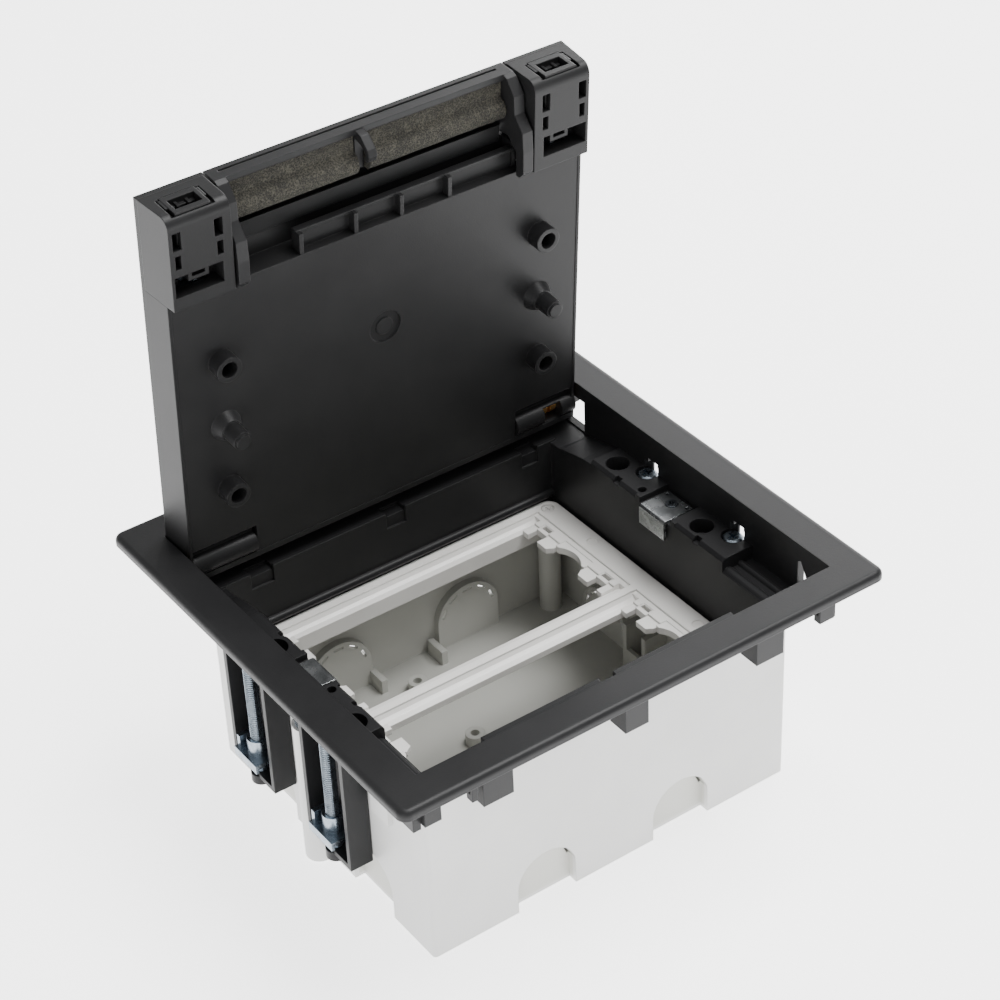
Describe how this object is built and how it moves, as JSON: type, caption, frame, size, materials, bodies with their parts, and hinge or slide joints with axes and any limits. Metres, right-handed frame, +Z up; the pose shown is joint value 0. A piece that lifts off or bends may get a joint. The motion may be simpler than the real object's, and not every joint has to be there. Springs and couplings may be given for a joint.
{
  "type": "floor socket box",
  "caption": "Rectangular floor socket box with a hinged latching lid, cable flap with foam seals, module frame, floor clamps and D-shaped cable knockouts.",
  "frame": {"origin": "centre of the box's underside, on the plane its floor stands on", "axes": "+X along the lid hinge, +Y from the cable side toward the hinge, +Z up out of the floor"},
  "size_m": [0.1564, 0.1446, 0.1866],
  "materials": {
    "charcoal_frame": "fine matt moulded texture, soft sheen on the flange",
    "light_grey_box": "satin moulded, slightly warm inside",
    "white_rail": "smooth moulded, soft highlights along the rails",
    "charcoal_lid": "fine matt moulded",
    "charcoal_small": "smooth moulded",
    "zinc_steel": "bright zinc plate, faintly blue",
    "brass": "turned brass",
    "foam": "open-cell foam, dusty olive"
  },
  "bodies": {
    "box": {"surround_frame": "charcoal_frame", "socket_box": "light_grey_box", "column_inserts": "zinc_steel", "box_screws": "zinc_steel", "ledge_clip_left": "zinc_steel", "ledge_clip_right": "zinc_steel", "module_frame": "white_rail", "module_screws": "zinc_steel"},
    "lid": {"lid_cover": "charcoal_lid", "lid_stiffener": "zinc_steel", "lid_liner": "charcoal_lid", "latch_housing_left": "charcoal_lid", "latch_housing_right": "charcoal_lid", "latch_spring_left": "zinc_steel", "latch_spring_right": "zinc_steel", "hinge_pin": "brass", "flap_pins": "zinc_steel", "bolt_spring": "zinc_steel"},
    "hinge_bolt": {"hinge_bolt": "brass"},
    "latch_left": {"latch_slider_left": "charcoal_small"},
    "latch_right": {"latch_slider_right": "charcoal_small"},
    "cable_flap": {"cable_flap": "charcoal_small", "foam_strip_left": "foam", "foam_strip_right": "foam"},
    "clamp_screw_left_rear": {"clamp_screw_left_rear": "zinc_steel"},
    "clamp_plate_left_rear": {"clamp_plate_left_rear": "zinc_steel"},
    "clamp_screw_left_front": {"clamp_screw_left_front": "zinc_steel"},
    "clamp_plate_left_front": {"clamp_plate_left_front": "zinc_steel"},
    "clamp_screw_right_rear": {"clamp_screw_right_rear": "zinc_steel"},
    "clamp_plate_right_rear": {"clamp_plate_right_rear": "zinc_steel"},
    "clamp_screw_right_front": {"clamp_screw_right_front": "zinc_steel"},
    "clamp_plate_right_front": {"clamp_plate_right_front": "zinc_steel"}
  },
  "joints": [
    {"name": "lid_hinge", "type": "hinge", "parent": "box", "child": "lid", "pos_m": [0, 0.0562, 0.0695], "axis": [1, 0, 0], "range_deg": [0, 85.8]},
    {"name": "hinge_bolt_slide", "type": "slide", "parent": "lid", "child": "hinge_bolt", "axis": [1, 0, 0], "range_m": [-0.003, 0], "stiffness_N_per_m": 400, "springref_m": 0.004, "deforming": ["bolt_spring"]},
    {"name": "latch_left_slide", "type": "slide", "parent": "lid", "child": "latch_left", "axis": [0, -0.0732, 0.9973], "range_m": [0, 0.0022]},
    {"name": "latch_right_slide", "type": "slide", "parent": "lid", "child": "latch_right", "axis": [0, -0.0732, 0.9973], "range_m": [0, 0.0022]},
    {"name": "cable_flap_hinge", "type": "hinge", "parent": "lid", "child": "cable_flap", "pos_m": [0, 0.05245, 0.1697], "axis": [1, 0, 0], "range_deg": [-95, 0]},
    {"name": "clamp_plate_left_rear_climb", "type": "slide", "parent": "box", "child": "clamp_plate_left_rear", "axis": [0, 0, 1], "range_m": [0, 0.0238]},
    {"name": "clamp_screw_left_rear_turn", "type": "hinge", "parent": "box", "child": "clamp_screw_left_rear", "pos_m": [-0.0656, 0.0234, 0.0388], "axis": [0, 0, -1], "range_deg": [0, 12240.1]},
    {"name": "clamp_plate_left_front_climb", "type": "slide", "parent": "box", "child": "clamp_plate_left_front", "axis": [0, 0, 1], "range_m": [0, 0.0238]},
    {"name": "clamp_screw_left_front_turn", "type": "hinge", "parent": "box", "child": "clamp_screw_left_front", "pos_m": [-0.0656, -0.0153, 0.0388], "axis": [0, 0, -1], "range_deg": [0, 12240.1]},
    {"name": "clamp_plate_right_rear_climb", "type": "slide", "parent": "box", "child": "clamp_plate_right_rear", "axis": [0, 0, 1], "range_m": [0, 0.0238]},
    {"name": "clamp_screw_right_rear_turn", "type": "hinge", "parent": "box", "child": "clamp_screw_right_rear", "pos_m": [0.0656, 0.0153, 0.0388], "axis": [0, 0, -1], "range_deg": [0, 12240.1]},
    {"name": "clamp_plate_right_front_climb", "type": "slide", "parent": "box", "child": "clamp_plate_right_front", "axis": [0, 0, 1], "range_m": [0, 0.0238]},
    {"name": "clamp_screw_right_front_turn", "type": "hinge", "parent": "box", "child": "clamp_screw_right_front", "pos_m": [0.0656, -0.0234, 0.0388], "axis": [0, 0, -1], "range_deg": [0, 12240.1]}
  ],
  "couplings": [
    {"joint": "clamp_screw_left_rear_turn", "follows": "clamp_plate_left_rear_climb", "rad_per_m": 8976},
    {"joint": "clamp_screw_left_front_turn", "follows": "clamp_plate_left_front_climb", "rad_per_m": 8976},
    {"joint": "clamp_screw_right_rear_turn", "follows": "clamp_plate_right_rear_climb", "rad_per_m": 8976},
    {"joint": "clamp_screw_right_front_turn", "follows": "clamp_plate_right_front_climb", "rad_per_m": 8976}
  ]
}
